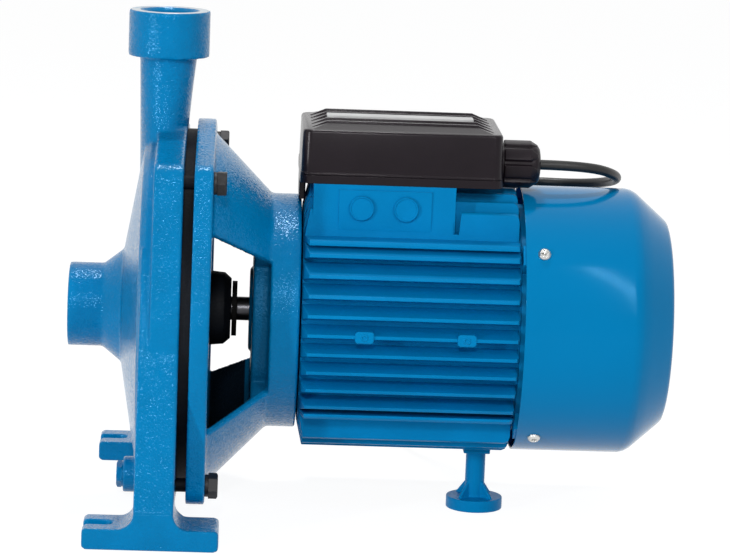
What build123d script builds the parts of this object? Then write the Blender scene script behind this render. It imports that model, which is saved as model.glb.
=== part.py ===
from build123d import *
import math
import os

# A small electric centrifugal pump: cast volute casing, lantern bracket, finned motor and fan cover.
# Sizes are in millimetres. Each piece is drawn with X along the shaft from the discharge port's axis
# towards the fan, and Z up from the shaft's axis. set_down() then stands it on the floor.

os.makedirs("parts", exist_ok=True)

# Overall
axis_height = 118.0
suction_reach = 55.5
fan_end = 301.0
running_gap = 0.05
quarter_turns = (45, 135, 225, 315)
seat_gap = 0.2
turning_gap = 5.0

# Ports, both with a one inch pipe thread
thread_radius = 15.15
thread_depth = 20.0
port_chamfer = 2.4
suction_collar_radius = 25.0
suction_collar_length = 20.5
discharge_collar_radius = 24.0
discharge_height = 178.0
discharge_collar_height = 27.0
neck_radius = 17.0
neck_wall = 4.5
neck_low = 62.0
neck_low_x = -2.0
neck_low_half_length = 13.0
neck_low_half_width = 38.0
neck_waist = 100.0
neck_waist_x = -1.6
neck_waist_half_length = 14.0
neck_waist_half_width = 24.0
passage_low = 70.0
passage_low_half_length = 7.0
passage_low_half_width = 24.0
passage_waist = 105.0
passage_waist_half_length = 9.0
passage_waist_half_width = 17.0

# Casing
casing_back = 12.5
casing_wall = 6.0
front_cone_radius = 34.0
front_cone_x = -23.5
front_rim_radius = 100.0
front_rim_x = -12.0
casing_rim_radius = 104.0
casing_flange_radius = 110.0
casing_flange_front = -4.5
rim_round = 4.0
thread_start = 2.0
volute_start_radius = 83.0
volute_growth = 10.0
eye_ring_gap = 0.6

# Legs and feet
foot_half_span = 128.0
foot_depth = 35.0
foot_thickness = 12.0
foot_front = -39.5
foot_back = 38.5
foot_slot_width = 11.0
foot_slot_length = 17.0
foot_fillet = 9.0
leg_front = -10.5
leg_top = 50.0
leg_shoulder = 22.0
leg_waist = -12.0
leg_waist_reach = 111.5
leg_inner_width = 30.0
leg_inner_splay = 2.0
leg_knee = 50.0

# Drain
drain_drop = 104.0
drain_boss_radius = 10.8
drain_boss_front = -20.7
drain_thread_radius = 6.6
drain_thread_depth = 10.0
drain_head_width = 14.0
drain_head_height = 4.0

# Seal cover
cover_thickness = 6.0
cover_radius = 107.0
hub_radius = 22.5
hub_nose_radius = 18.0
hub_end = 41.3
hub_round = 4.0
seal_pocket_radius = 17.0
seal_pocket_end = 37.0
seal_radius = 12.0
seal_length = 18.0

# Lantern bracket
plate_thickness = 11.0
plate_radius = 113.3
bolt_circle_radius = 125.0
lug_radius = 11.0
bolt_hole_radius = 4.5
cone_start_radius = 105.0
cone_wall = 6.5
ring_start = 64.0
ring_radius = 70.0
window_half_angle = 34.5
shield_face = 54.0
shield_wall = 8.0
shield_rim_radius = 60.0
shield_boss_radius = 25.0
shield_boss_step = 1.8

# Flange bolts, size M8
bolt_radius = 4.0
bolt_head_width = 13.0
bolt_head_height = 5.5
washer_radius = 6.5
washer_thickness = 2.0
bolt_grip = 26.0

# Shaft and bearings
shaft_radius = 7.1
stub_radius = 6.0
stub_end = -11.0
rotor_radius = 15.0
front_bearing_bore = 8.5
front_bearing_radius = 20.0
front_bearing_width = 12.0
rear_bearing_bore = 7.5
rear_bearing_radius = 17.5
rear_bearing_width = 11.0
shaft_end = 256.0
slinger_radius = 16.5
slinger_thickness = 3.0
slinger_gap = 0.6

# Impeller
impeller_radius = 74.0
impeller_back = 7.5
impeller_outlet = 5.0
shroud_thickness = 3.0
eye_radius = 25.0
eye_x = -19.5
impeller_hub_radius = 13.0
impeller_hub_face = -2.0
vane_count = 6
vane_thickness = 3.0
vane_start_radius = 24.0
vane_sweep = 110.0
impeller_nut_width = 17.0
impeller_nut_height = 8.0

# Motor frame
frame_start = 82.5
frame_end = 210.5
barrel_radius = 66.0
fin_envelope = 80.5
side_fin_pitch = 11.2
side_fin_count = 9
top_fin_pitch = 10.5
top_fin_count = 9
fin_tip = 1.5
side_fin_draft = 0.23
top_fin_draft = 0.1
fin_root_depth = 3.0
fin_front_inset = 0.3
fin_front_slant = 3.2
fin_front_radius = 67.0
fin_rear_inset = 1.5
fin_corner = 3.0
ledge_height = 51.5
ledge_thickness = 3.0
ledge_reach = 61.9
seat_start = 87.5
seat_end = 171.0
seat_half_width = 43.3
seat_height = 83.5
seat_bottom = 40.0
pad_start = 102.5
pad_end = 157.0
pad_rise = 0.8
pad_bottom = 57.0
conduit_boss_radius = 7.0
conduit_boss_rise = 1.6
conduit_boss_height = 70.0
conduit_boss_xs = (116.0, 142.0)
fin_relief_low = 2.5
fin_relief_high = 4.8
fin_relief_bottom = 56.0
plate_lug_starts = (114.2, 173.6)
plate_lug_length = 9.6
plate_lug_height = 6.0
plate_lug_hole = 0.9

# Rear end shield and fan cover
shield_radius = 68.0
rear_shield_thickness = 4.5
rear_hub_radius = 24.0
cover_lug_width = 13.0
cover_lug_depth = 9.0
cover_lug_length = 7.0
fan_cover_start = 212.0
fan_cover_radius = 79.6
fan_cover_sheet = 1.2
fan_cover_bend = 279.0
fan_cover_end_radius = 61.0
cover_bend_before = 3.5
cover_bend_after = 3.0
cover_bend_drop = 0.8
cover_end_round = 0.7
screw_x = 222.6
screw_turn = 38.0
screw_head_radius = 3.8
screw_head_height = 2.2
screw_radius = 2.4
screw_length = 7.0
grille_slot_width = 4.0
grille_first_radius = 19.0
grille_pitch = 9.0
grille_rings = 4
grille_spoke = 9.0

# Fan
fan_start = 230.0
fan_hub_radius = 14.0
fan_hub_length = 20.0
fan_disc_thickness = 2.5
fan_radius = 62.0
fan_blade_length = 22.0
fan_blade_thickness = 2.2
fan_blade_count = 9
clip_radius = 10.0
clip_thickness = 1.2

# Terminal box
box_start = 79.4
box_length = 119.1
box_half_depth = 43.0
box_base_height = 5.0
box_lid_height = 26.5
box_corner = 5.0
box_draft = 1.2
panel_rise = 3.0
panel_half_width = 36.0
panel_end_inset = 5.0
panel_ramp = 10.5
ridge_rise = 1.0
ridge_width = 2.0
ridge_pitch = 14.0
ridge_count = 5
skirt_thickness = 2.3
skirt_drop = 8.0
skirt_half_width = 18.0

# Cable gland and cord
gland_y = -16.0
gland_height = 95.2
gland_collar_radius = 11.5
gland_collar_length = 1.0
gland_nut_radius = 13.5
gland_nut_length = 22.0
gland_dome_length = 5.0
gland_dome_radius = 9.5
gland_nut_chamfer = 0.8
gland_flutes = 10
gland_flute_radius = 2.0
cord_radius = 3.0
coil_turn_radius = 33.0
coil_turn_pitch = 6.2
coil_center_x = 190.0
coil_center_y = 205.0
tie_width = 6.0
tie_thickness = 1.0
tie_gap = 0.5
plug_radius = 13.0
plug_length = 38.0
plug_relief_radius = 6.5
plug_relief_tip_radius = 4.0
plug_relief_length = 24.0
plug_pin_radius = 2.4
plug_pin_length = 19.0
plug_pin_spacing = 19.0
plug_tail = 30.0

# Motor foot
motor_foot_x = 192.5
motor_foot_radius = 17.0
motor_foot_disc = 7.0
motor_foot_column = 5.9
motor_foot_pad = 8.0
motor_foot_pad_thickness = 2.0
foot_boss_drop = 81.5
gusset_thickness = 1.8
gusset_rise = 11.0
gusset_reach = 13.5

middle_x = (fan_end - suction_reach) / 2
flange_front = casing_back + cover_thickness
flange_back = flange_front + plate_thickness
floor_z = -axis_height


def set_down(piece):
    """Move a piece from the shaft's frame to the pump's own: middle of its length, on the floor."""
    return Pos(-middle_x, 0, axis_height) * piece


def save(name, piece):
    placed = set_down(piece)
    export_step(placed, f"parts/{name}.step")


def turned(*outline):
    """Revolve a closed outline of (x, radius) points about the shaft's axis."""
    face = make_face(Polyline(*outline, close=True))
    return revolve(face, Axis.X, 360)


def rod(start, end, radius, y=0.0, z=0.0):
    """A cylinder along X."""
    length = end - start
    return Pos((start + end) / 2, y, z) * Rot(0, 90, 0) * Cylinder(radius, length)


def block(x0, x1, y0, y1, z0, z1):
    """A box between two corners."""
    box = Box(x1 - x0, y1 - y0, z1 - z0)
    return Pos((x0 + x1) / 2, (y0 + y1) / 2, (z0 + z1) / 2) * box


def along_x(sketch, start, end):
    """Extrude a sketch drawn in Y and Z along the shaft."""
    placed = Plane.YZ.offset(start) * sketch
    return extrude(placed, end - start, dir=(1, 0, 0))


def hexagon_along_x(start, end, width, y=0.0, z=0.0):
    sketch = Pos(y, z) * RegularPolygon(width / 2, 6, major_radius=False)
    return along_x(sketch, start, end)


def volute_outline():
    """A spiral that grows by volute_growth over a turn, in arcs of an eighth of a turn."""
    steps = 16
    points = []
    for i in range(steps + 1):
        angle = math.radians(60 - i * 330 / steps)
        radius = volute_start_radius + volute_growth * i / steps
        points.append((radius * math.cos(angle), radius * math.sin(angle)))
    arcs = []
    for i in range(0, steps, 2):
        arcs.append(ThreePointArc(points[i], points[i + 1], points[i + 2]))
    closing = Line(points[-1], points[0])
    return make_face(Curve() + arcs + closing)


def casing_form():
    """The casing's turned body and its flange, before any hollow is cut."""
    body = turned(
        (-suction_reach, 0),
        (-suction_reach, suction_collar_radius),
        (-suction_reach + suction_collar_length, suction_collar_radius),
        (front_cone_x, front_cone_radius),
        (front_rim_x, front_rim_radius),
        (front_rim_x + rim_round, casing_rim_radius),
        (casing_flange_front, casing_rim_radius),
        (casing_flange_front, casing_flange_radius),
        (casing_back, casing_flange_radius),
        (casing_back, 0),
    )
    return body + along_x(flange_outline(casing_flange_radius), casing_flange_front, casing_back)


def volute_casing():
    body = casing_form() + drain_boss()
    body -= volute_cavity()
    body -= discharge_passage()
    body -= suction_passage()
    for turn in quarter_turns:
        body -= flange_hole(turn, thread_start, casing_back + 1, bolt_radius + seat_gap)
    drain_end = drain_boss_front + drain_thread_depth
    body -= rod(drain_boss_front - 1, drain_end, drain_thread_radius, 0, -drain_drop)
    return body


def discharge_neck():
    top = discharge_height - discharge_collar_height
    low = Plane((neck_low_x, 0, neck_low)) * Ellipse(neck_low_half_length, neck_low_half_width)
    middle = Plane((neck_waist_x, 0, neck_waist)) * Ellipse(neck_waist_half_length, neck_waist_half_width)
    high = Plane((0, 0, top + 1)) * Circle(neck_radius)
    neck = loft([low, middle, high])
    middle_height = top + discharge_collar_height / 2
    collar = Pos(0, 0, middle_height) * Cylinder(discharge_collar_radius, discharge_collar_height)
    cover_room = rod(casing_back, flange_front, cover_radius + seat_gap)
    body = neck + collar - casing_form() - discharge_passage() - cover_room
    return body.solids().sort_by(SortBy.VOLUME)[-1]


def discharge_passage():
    top = discharge_height
    low = Plane((neck_low_x, 0, passage_low)) * Ellipse(passage_low_half_length, passage_low_half_width)
    waist = Ellipse(passage_waist_half_length, passage_waist_half_width)
    middle = Plane((neck_waist_x, 0, passage_waist)) * waist
    high = Plane((0, 0, top - thread_depth)) * Circle(neck_radius - neck_wall)
    passage = loft([low, middle, high])
    thread = Pos(0, 0, top - thread_depth / 2) * Cylinder(thread_radius, thread_depth)
    mouth = Pos(0, 0, top - port_chamfer / 2) * Cone(thread_radius, thread_radius + port_chamfer, port_chamfer)
    return passage + thread + mouth


def suction_passage():
    face = -suction_reach
    return turned(
        (face - 1, 0),
        (face - 1, thread_radius + port_chamfer),
        (face, thread_radius + port_chamfer),
        (face + port_chamfer, thread_radius),
        (face + thread_depth, thread_radius),
        (face + thread_depth, thread_radius - 1.5),
        (eye_x - 6, thread_radius + 3),
        (eye_x - 2, thread_radius + 5),
        (eye_x - 2, eye_radius + eye_ring_gap),
        (eye_x + 12, eye_radius + eye_ring_gap),
        (eye_x + 12, 0),
    )


def volute_cavity():
    """The room for the impeller and the spiral channel round it, open to the seal cover."""
    spiral = along_x(volute_outline(), front_rim_x + casing_wall - 2.5, casing_back + 1)
    cone = turned(
        (front_cone_x + casing_wall + 5, 0),
        (front_cone_x + casing_wall + 5, front_cone_radius),
        (front_rim_x + casing_wall - 2.5, volute_start_radius - 2),
        (casing_back + 1, volute_start_radius - 2),
        (casing_back + 1, 0),
    )
    return spiral + cone


def drain_boss():
    return rod(drain_boss_front, casing_flange_front, drain_boss_radius, 0, -drain_drop)


def flange_outline(radius):
    """A round flange whose four bolt lugs run out to it along tangents."""
    outline = Sketch() + Circle(radius)
    spread = math.acos((radius - lug_radius) / bolt_circle_radius)
    for turn in quarter_turns:
        middle = math.radians(turn)
        y = bolt_circle_radius * math.cos(middle)
        z = bolt_circle_radius * math.sin(middle)
        low = (math.cos(middle - spread), math.sin(middle - spread))
        high = (math.cos(middle + spread), math.sin(middle + spread))
        outline += make_face(Polyline(
            (radius * low[0], radius * low[1]),
            (y + lug_radius * low[0], z + lug_radius * low[1]),
            (y + lug_radius * high[0], z + lug_radius * high[1]),
            (radius * high[0], radius * high[1]),
            close=True,
        ))
        outline += Pos(y, z) * Circle(lug_radius)
    return outline


def flange_hole(turn, start, end, radius):
    angle = math.radians(turn)
    return rod(start, end, radius, bolt_circle_radius * math.cos(angle), bolt_circle_radius * math.sin(angle))


def leg(side):
    """One splayed leg with its foot: the foot's slot is open at its front end."""
    inner = foot_half_span - foot_depth
    outline = make_face(Polyline(
        (side * foot_half_span, floor_z),
        (side * inner, floor_z),
        (side * inner, floor_z + foot_thickness),
        (side * (casing_flange_radius - leg_inner_width - leg_inner_splay), floor_z + leg_knee),
        (side * (casing_flange_radius - leg_inner_width), leg_top),
        (side * math.sqrt(casing_rim_radius ** 2 - leg_top ** 2), leg_top),
        (side * math.sqrt(casing_rim_radius ** 2 - leg_shoulder ** 2), leg_shoulder),
        (side * leg_waist_reach, leg_waist),
        (side * foot_half_span, floor_z + foot_thickness + 4),
        close=True,
    ))
    shank = along_x(outline, leg_front, casing_back)
    tee = foot_profile()
    foot = extrude(Plane.XZ.offset(-side * inner) * tee, -side * foot_depth)
    body = shank + foot - foot_slot(side) - casing_form()
    return body.solids().sort_by(SortBy.VOLUME)[-1]


def foot_profile():
    """An upside-down T in X and Z, with round inner corners."""
    top = floor_z + foot_thickness
    r = foot_fillet
    base = Pos((foot_front + foot_back) / 2, floor_z + foot_thickness / 2) * RectangleRounded(
        foot_back - foot_front, foot_thickness, 2.0)
    low = Pos((foot_front + foot_back) / 2, floor_z + 3) * Rectangle(foot_back - foot_front - 4, 6)
    stem = Pos((leg_front + casing_back) / 2, top + r / 2) * Rectangle(casing_back - leg_front + 2 * r, r)
    for x in (leg_front - r, casing_back + r):
        stem -= Pos(x, top + r) * Circle(r)
    return base + low + stem


def foot_slot(side):
    middle = side * (foot_half_span - foot_depth / 2)
    radius = foot_slot_width / 2
    end = foot_front + foot_slot_length - radius
    top = floor_z + foot_thickness + 1
    straight = block(foot_front - 1, end, middle - radius, middle + radius, floor_z - 1, top)
    round_end = Pos(end, middle, floor_z + foot_thickness / 2) * Cylinder(radius, foot_thickness + 2)
    return straight + round_end


def drain_plug():
    head_start = drain_boss_front - drain_head_height
    head = hexagon_along_x(head_start, drain_boss_front, drain_head_width, 0, -drain_drop)
    shank_end = drain_boss_front + drain_thread_depth - 1
    shank = rod(drain_boss_front, shank_end, drain_thread_radius - running_gap, 0, -drain_drop)
    return head + shank


def seal_cover():
    body = turned(
        (casing_back, 0),
        (casing_back, cover_radius),
        (flange_front, cover_radius),
        (flange_front, hub_radius + 10),
        (flange_back - 2, hub_radius),
        (hub_end - hub_round, hub_radius - 1),
        (hub_end, hub_nose_radius),
        (hub_end, 0),
    )
    body -= rod(casing_back - 1, seal_pocket_end, seal_pocket_radius)
    body -= rod(seal_pocket_end - 1, hub_end + 1, shaft_radius + 1.5)
    return body


def lantern_bracket():
    cone_end = ring_start
    body = turned(
        (flange_front, 0),
        (flange_front, cone_start_radius),
        (flange_back, cone_start_radius),
        (cone_end, ring_radius),
        (frame_start - 1, ring_radius),
        (frame_start - 1, 0),
    )
    body += along_x(flange_outline(plate_radius), flange_front, flange_back)
    inner_start = cone_start_radius - cone_wall
    inner_end = ring_radius - cone_wall
    body -= turned(
        (flange_front - 1, 0),
        (flange_front - 1, inner_start),
        (flange_back, inner_start),
        (shield_face, inner_end + 10),
        (shield_face, shield_boss_radius),
        (shield_face - shield_boss_step, shield_boss_radius - 0.5),
        (shield_face - shield_boss_step, 0),
    )
    shield_back = ring_start + 1
    bearing_end = shield_face + shield_wall + 8
    body -= turned(
        (shield_back, shield_boss_radius + 2),
        (shield_back, ring_radius - cone_wall),
        (frame_start, ring_radius - cone_wall),
        (frame_start, 0),
        (bearing_end, 0),
        (bearing_end, shield_boss_radius + 2),
    )
    body -= rod(bearing_end - front_bearing_width - 1, bearing_end + 1, front_bearing_radius)
    body -= rod(shield_face - shield_boss_step - 1, bearing_end, shaft_radius + 3)
    for side in (-1, 1):
        body -= window_cut(side)
    for turn in quarter_turns:
        body -= flange_hole(turn, flange_front - 1, flange_back + 1, bolt_hole_radius)
    return body


def window_cut(side):
    """The wedge that opens one side of the lantern, from the flange's back to the motor ring."""
    reach = 130.0
    half = math.radians(window_half_angle)
    wedge = make_face(Polyline(
        (0, 0),
        (side * reach, reach * math.tan(half)),
        (side * reach, -reach * math.tan(half)),
        close=True,
    ))
    return along_x(wedge, flange_back, ring_start) - rod(flange_back, ring_start, shield_rim_radius)


def flange_bolts():
    bolts = []
    start = flange_back
    for turn in quarter_turns:
        angle = math.radians(turn)
        y = bolt_circle_radius * math.cos(angle)
        z = bolt_circle_radius * math.sin(angle)
        washer = rod(start, start + washer_thickness, washer_radius, y, z)
        head = hexagon_along_x(start + washer_thickness, start + washer_thickness + bolt_head_height,
                               bolt_head_width, y, z)
        shank = rod(start - bolt_grip, start, bolt_radius, y, z)
        bolts.append(washer + head + shank)
    return Compound(bolts)


def shaft():
    rear_bearing_start = frame_end + 0.5
    front_seat_end = shield_face + shield_wall + 8
    return turned(
        (stub_end, 0),
        (stub_end, stub_radius),
        (impeller_back, stub_radius),
        (impeller_back, shaft_radius),
        (front_seat_end - front_bearing_width - 0.5, shaft_radius),
        (front_seat_end - front_bearing_width - 0.5, front_bearing_bore),
        (front_seat_end + 2, front_bearing_bore),
        (front_seat_end + 2, rotor_radius),
        (rear_bearing_start - 4, rotor_radius),
        (rear_bearing_start - 4, rear_bearing_bore),
        (shaft_end, rear_bearing_bore),
        (shaft_end, 0),
    )


def bearing(start, width, bore, radius):
    return rod(start, start + width, radius) - rod(start - 1, start + width + 1, bore)


def front_bearing():
    end = shield_face + shield_wall + 8
    return bearing(end - front_bearing_width, front_bearing_width, front_bearing_bore + running_gap,
                   front_bearing_radius)


def rear_bearing():
    return bearing(frame_end + 0.5, rear_bearing_width, rear_bearing_bore + running_gap, rear_bearing_radius)


def impeller_vane(turn):
    """A vane that bends back as it goes out, thick enough to reach into both shrouds."""
    inner = vane_start_radius
    outer = impeller_radius - 1
    points = []
    for i in range(5):
        share = i / 4
        radius = inner + (outer - inner) * share
        angle = math.radians(turn - vane_sweep * share)
        points.append((radius * math.cos(angle), radius * math.sin(angle)))
    line = Spline(*points)
    return line


def impeller():
    back = rod(impeller_back - shroud_thickness, impeller_back, impeller_radius)
    hub = rod(impeller_hub_face, impeller_back, impeller_hub_radius)
    front_inner = impeller_back - shroud_thickness - impeller_outlet
    shroud = turned(
        (eye_x, eye_radius - shroud_thickness),
        (eye_x, eye_radius),
        (eye_x + 10, eye_radius),
        (front_inner - shroud_thickness, impeller_radius),
        (front_inner, impeller_radius),
        (eye_x + 12 + shroud_thickness, eye_radius - shroud_thickness),
    )
    room = turned(
        (impeller_back - 1, vane_start_radius - 2),
        (eye_x + 11 + shroud_thickness, vane_start_radius - 2),
        (front_inner - 1, impeller_radius),
        (impeller_back - 1, impeller_radius),
    )
    body = back + hub + shroud
    for i in range(vane_count):
        line = impeller_vane(i * 360 / vane_count)
        strip = trace(line, vane_thickness)
        blade = along_x(strip, eye_x, impeller_back - 1) & room
        body += blade
    body -= rod(eye_x, impeller_back + 1, stub_radius + running_gap)
    return body


def impeller_nut():
    end = impeller_hub_face
    nut = hexagon_along_x(end - impeller_nut_height, end, impeller_nut_width)
    return nut - rod(end - impeller_nut_height - 1, end + 1, stub_radius + running_gap)


def shaft_seal():
    start = impeller_back
    return bearing(start, seal_length, shaft_radius + running_gap, seal_radius)


def shaft_slinger():
    start = hub_end + slinger_gap
    return bearing(start, slinger_thickness, shaft_radius + running_gap, slinger_radius)


def fin(place, draft):
    """One fin's section, pointing up at this place across: thin at its tip and thicker to the barrel."""
    tip = math.sqrt(fin_envelope ** 2 - place ** 2) + 1
    root = math.sqrt(barrel_radius ** 2 - place ** 2) - fin_root_depth
    half_tip = fin_tip / 2
    half_root = half_tip + draft * (tip - root)
    return make_face(Polyline(
        (place - half_root, root),
        (place - half_tip, tip),
        (place + half_tip, tip),
        (place + half_root, root),
        close=True,
    ))


def fin_section():
    """All the fins: level ones on both sides, upright ones on top and under, and four ledges between them."""
    sketch = Sketch()
    for i in range(top_fin_count):
        upright = fin((i - (top_fin_count - 1) / 2) * top_fin_pitch, top_fin_draft)
        sketch += upright
        sketch += Rot(0, 0, 180) * upright
    for i in range(side_fin_count):
        level = fin((i - (side_fin_count - 1) / 2) * side_fin_pitch, side_fin_draft)
        sketch += Rot(0, 0, 90) * level
        sketch += Rot(0, 0, -90) * level
    for side in (-1, 1):
        sketch += Pos(0, side * ledge_height) * Rectangle(2 * ledge_reach, ledge_thickness)
    return sketch


def motor_frame():
    start = frame_start + fin_front_inset
    end = frame_end - fin_rear_inset
    rough = along_x(fin_section(), start, end)
    envelope = turned(
        (start, 0),
        (start, fin_front_radius),
        (start + fin_front_slant, fin_envelope),
        (end - fin_corner, fin_envelope),
        (end - 0.3 * fin_corner, fin_envelope - 0.3 * fin_corner),
        (end, fin_envelope - fin_corner),
        (end, 0),
    )
    body = rod(frame_start, frame_end, barrel_radius) + (rough & envelope)
    for side in (-1, 1):
        body -= fin_relief(side)
    body += terminal_seat() + plate_lugs()
    body += block(motor_foot_x - motor_foot_pad, motor_foot_x + motor_foot_pad, -motor_foot_pad, motor_foot_pad,
                  -foot_boss_drop, -barrel_radius + 5)
    body -= rod(frame_start - 1, frame_end + 1, rotor_radius + turning_gap)
    return body


def fin_relief(side):
    """The slanted gap between the terminal seat and the outermost upright fin beside it."""
    outer = (top_fin_count - 1) / 2 * top_fin_pitch
    low, high = sorted((side * (outer - 0.4 * top_fin_pitch), side * (outer + 0.4 * top_fin_pitch)))
    wedge = make_face(Polyline(
        (seat_end - 1, fin_relief_bottom),
        (seat_end + fin_relief_low, fin_relief_bottom),
        (seat_end + fin_relief_high, seat_height),
        (seat_end - 1, seat_height),
        close=True,
    ))
    return extrude(Plane.XZ.offset(-low) * wedge, -(high - low))


def plate_lugs():
    """Four lugs for name plates, on the middle fin of each side, with a pilot hole each."""
    lugs = Part()
    for start in plate_lug_starts:
        middle = start + plate_lug_length / 2
        for side in (-1, 1):
            low, high = sorted((side * (barrel_radius - 2), side * (fin_envelope - 0.1)))
            lug = block(start, start + plate_lug_length, low, high, -plate_lug_height / 2, plate_lug_height / 2)
            hole = Pos(middle, side * fin_envelope, 0) * Rot(90, 0, 0) * Cylinder(plate_lug_hole, fin_tip * 4)
            lugs += lug - hole
    return lugs


def terminal_seat():
    seat = block(seat_start, seat_end, -seat_half_width, seat_half_width, seat_bottom, seat_height)
    for side in (-1, 1):
        face = side * seat_half_width
        low, high = sorted((face - side, face + side * pad_rise))
        seat += block(pad_start, pad_end, low, high, pad_bottom, seat_height - 3)
        for x in conduit_boss_xs:
            depth = conduit_boss_rise + pad_rise + 1
            boss = Rot(90, 0, 0) * Cylinder(conduit_boss_radius, depth)
            seat += Pos(x, face - side + side * depth / 2, conduit_boss_height) * boss
    return seat


def rear_end_shield():
    start = frame_end
    disc = rod(start, start + rear_shield_thickness, shield_radius)
    hub = rod(start, start + rear_bearing_width + 1.5, rear_hub_radius)
    body = disc + hub
    outer = -fan_cover_inner() + seat_gap
    half = cover_lug_width / 2
    for quarter in range(4):
        arm = block(start, start + rear_shield_thickness, outer, -shield_radius + cover_lug_depth, -half, half)
        lug = block(start, screw_x + cover_lug_length, outer, outer + cover_lug_depth, -half, half)
        body += Rot(-screw_turn + 90 * quarter, 0, 0) * (arm + lug)
    body &= rod(start - 1, screw_x + 20, fan_cover_inner() - seat_gap)
    body -= rod(start - 1, start + rear_bearing_width + 0.5, rear_bearing_radius)
    body -= rod(start - 1, start + 2 * rear_bearing_width, rear_bearing_bore + 2)
    hole = radial_rod(screw_x, fan_cover_inner() - screw_length - 1, fan_cover_radius, screw_radius)
    for quarter in range(4):
        body -= Rot(-screw_turn + 90 * quarter, 0, 0) * hole
    return body


def fan_cover_inner():
    return fan_cover_radius - fan_cover_sheet


def radial_rod(x, inner, outer, radius):
    """A cylinder that points to -Y at this x."""
    return Pos(x, -(inner + outer) / 2, 0) * Rot(90, 0, 0) * Cylinder(radius, outer - inner)


def fan_cover():
    t = fan_cover_sheet
    r = fan_cover_radius
    body = turned(
        (fan_cover_start, r - t),
        (fan_cover_start, r),
        (fan_cover_bend - cover_bend_before, r),
        (fan_cover_bend, r - cover_bend_drop),
        (fan_cover_bend + cover_bend_after, r - 3 * cover_bend_drop),
        (fan_end - 3 * cover_end_round, fan_cover_end_radius + 2 * cover_end_round),
        (fan_end - cover_end_round, fan_cover_end_radius),
        (fan_end, fan_cover_end_radius - 3 * cover_end_round),
        (fan_end, 0),
        (fan_end - t, 0),
        (fan_end - t, fan_cover_end_radius - 3 * cover_end_round),
        (fan_end - t - cover_end_round, fan_cover_end_radius - t),
        (fan_cover_bend + cover_bend_after - t, r - 3 * cover_bend_drop - t),
        (fan_cover_bend - cover_bend_before, r - t),
    )
    grille = Sketch()
    for i in range(grille_rings):
        middle = grille_first_radius + i * grille_pitch
        grille += Circle(middle + grille_slot_width / 2) - Circle(middle - grille_slot_width / 2)
    grille -= Rectangle(2 * fan_cover_end_radius, grille_spoke)
    grille -= Rectangle(grille_spoke, 2 * fan_cover_end_radius)
    body -= along_x(grille, fan_end - 3 * t, fan_end + 1)
    for quarter in range(4):
        body -= Rot(-screw_turn + 90 * quarter, 0, 0) * radial_rod(screw_x, r - 5, r + 5, screw_radius + 0.2)
    return body


def fan_cover_screws():
    screws = []
    for quarter in range(4):
        shank = radial_rod(screw_x, fan_cover_inner() - screw_length, fan_cover_radius + 0.3, screw_radius - 0.1)
        head_start = fan_cover_radius + 0.1
        head = radial_rod(screw_x, head_start, head_start + screw_head_height, screw_head_radius)
        screws.append(Rot(-screw_turn + 90 * quarter, 0, 0) * (shank + head))
    return Compound(screws)


def cooling_fan():
    disc = rod(fan_start, fan_start + fan_disc_thickness, fan_radius)
    hub = rod(fan_start, fan_start + fan_hub_length, fan_hub_radius)
    body = disc + hub
    for i in range(fan_blade_count):
        blade = block(fan_start + 1, fan_start + fan_blade_length, fan_hub_radius - 1, fan_radius,
                      -fan_blade_thickness / 2, fan_blade_thickness / 2)
        body += Rot(i * 360 / fan_blade_count, 0, 0) * blade
    body -= rod(fan_start - 1, fan_start + fan_blade_length + 1, rear_bearing_bore + running_gap)
    return body


def fan_clip():
    start = fan_start + fan_hub_length
    return bearing(start, clip_thickness, rear_bearing_bore + running_gap, clip_radius)


def box_plan(inset=0.0):
    return RectangleRounded(box_length - 2 * inset, 2 * box_half_depth - 2 * inset, box_corner)


def terminal_box_base():
    middle = box_start + box_length / 2
    body = extrude(Plane((middle, 0, seat_height)) * box_plan(), box_base_height)
    body += block(box_start, box_start + skirt_thickness, -skirt_half_width, skirt_half_width,
                  seat_height - skirt_drop, seat_height + 1)
    return body


def panel_profile(rise):
    """The lid's raised panel from the side, in X and Z: level, with a ramp at each end."""
    base = seat_height + box_base_height + box_lid_height
    start = box_start + panel_end_inset
    end = box_start + box_length - panel_end_inset
    return make_face(Polyline(
        (start, base - 1),
        (start, base),
        (start + panel_ramp, base + rise),
        (end - panel_ramp, base + rise),
        (end, base),
        (end, base - 1),
        close=True,
    ))


def terminal_box_lid():
    middle = box_start + box_length / 2
    base = seat_height + box_base_height
    body = extrude(Plane((middle, 0, base)) * box_plan(0.4), box_lid_height, taper=box_draft)
    body += extrude(Plane.XZ * panel_profile(panel_rise), panel_half_width, both=True)
    ridge = extrude(Plane.XZ * panel_profile(panel_rise + ridge_rise), ridge_width / 2, both=True)
    for i in range(ridge_count):
        body += Pos(0, (i - (ridge_count - 1) / 2) * ridge_pitch, 0) * ridge
    return body


def gland_body():
    end = box_start + box_length
    return rod(end, end + gland_collar_length, gland_collar_radius, gland_y, gland_height)


def gland_nut():
    """A fluted cap nut with a domed end, that the cord leaves."""
    start = box_start + box_length + gland_collar_length
    end = start + gland_nut_length
    shoulder = end - gland_dome_length
    section = Circle(gland_nut_radius)
    for i in range(gland_flutes):
        flute = Pos(gland_nut_radius + 0.8, 0) * Circle(gland_flute_radius)
        section -= Rot(0, 0, (i + 0.5) * 360 / gland_flutes) * flute
    envelope = turned(
        (start, 0),
        (start, gland_nut_radius - gland_nut_chamfer),
        (start + gland_nut_chamfer, gland_nut_radius),
        (shoulder, gland_nut_radius),
        (shoulder + 1.5, gland_nut_radius - 0.5),
        (end - 1.8, gland_dome_radius + 2),
        (end, gland_dome_radius),
        (end, 0),
    )
    return Pos(0, gland_y, gland_height) * (along_x(section, start, end) & envelope)


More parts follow.
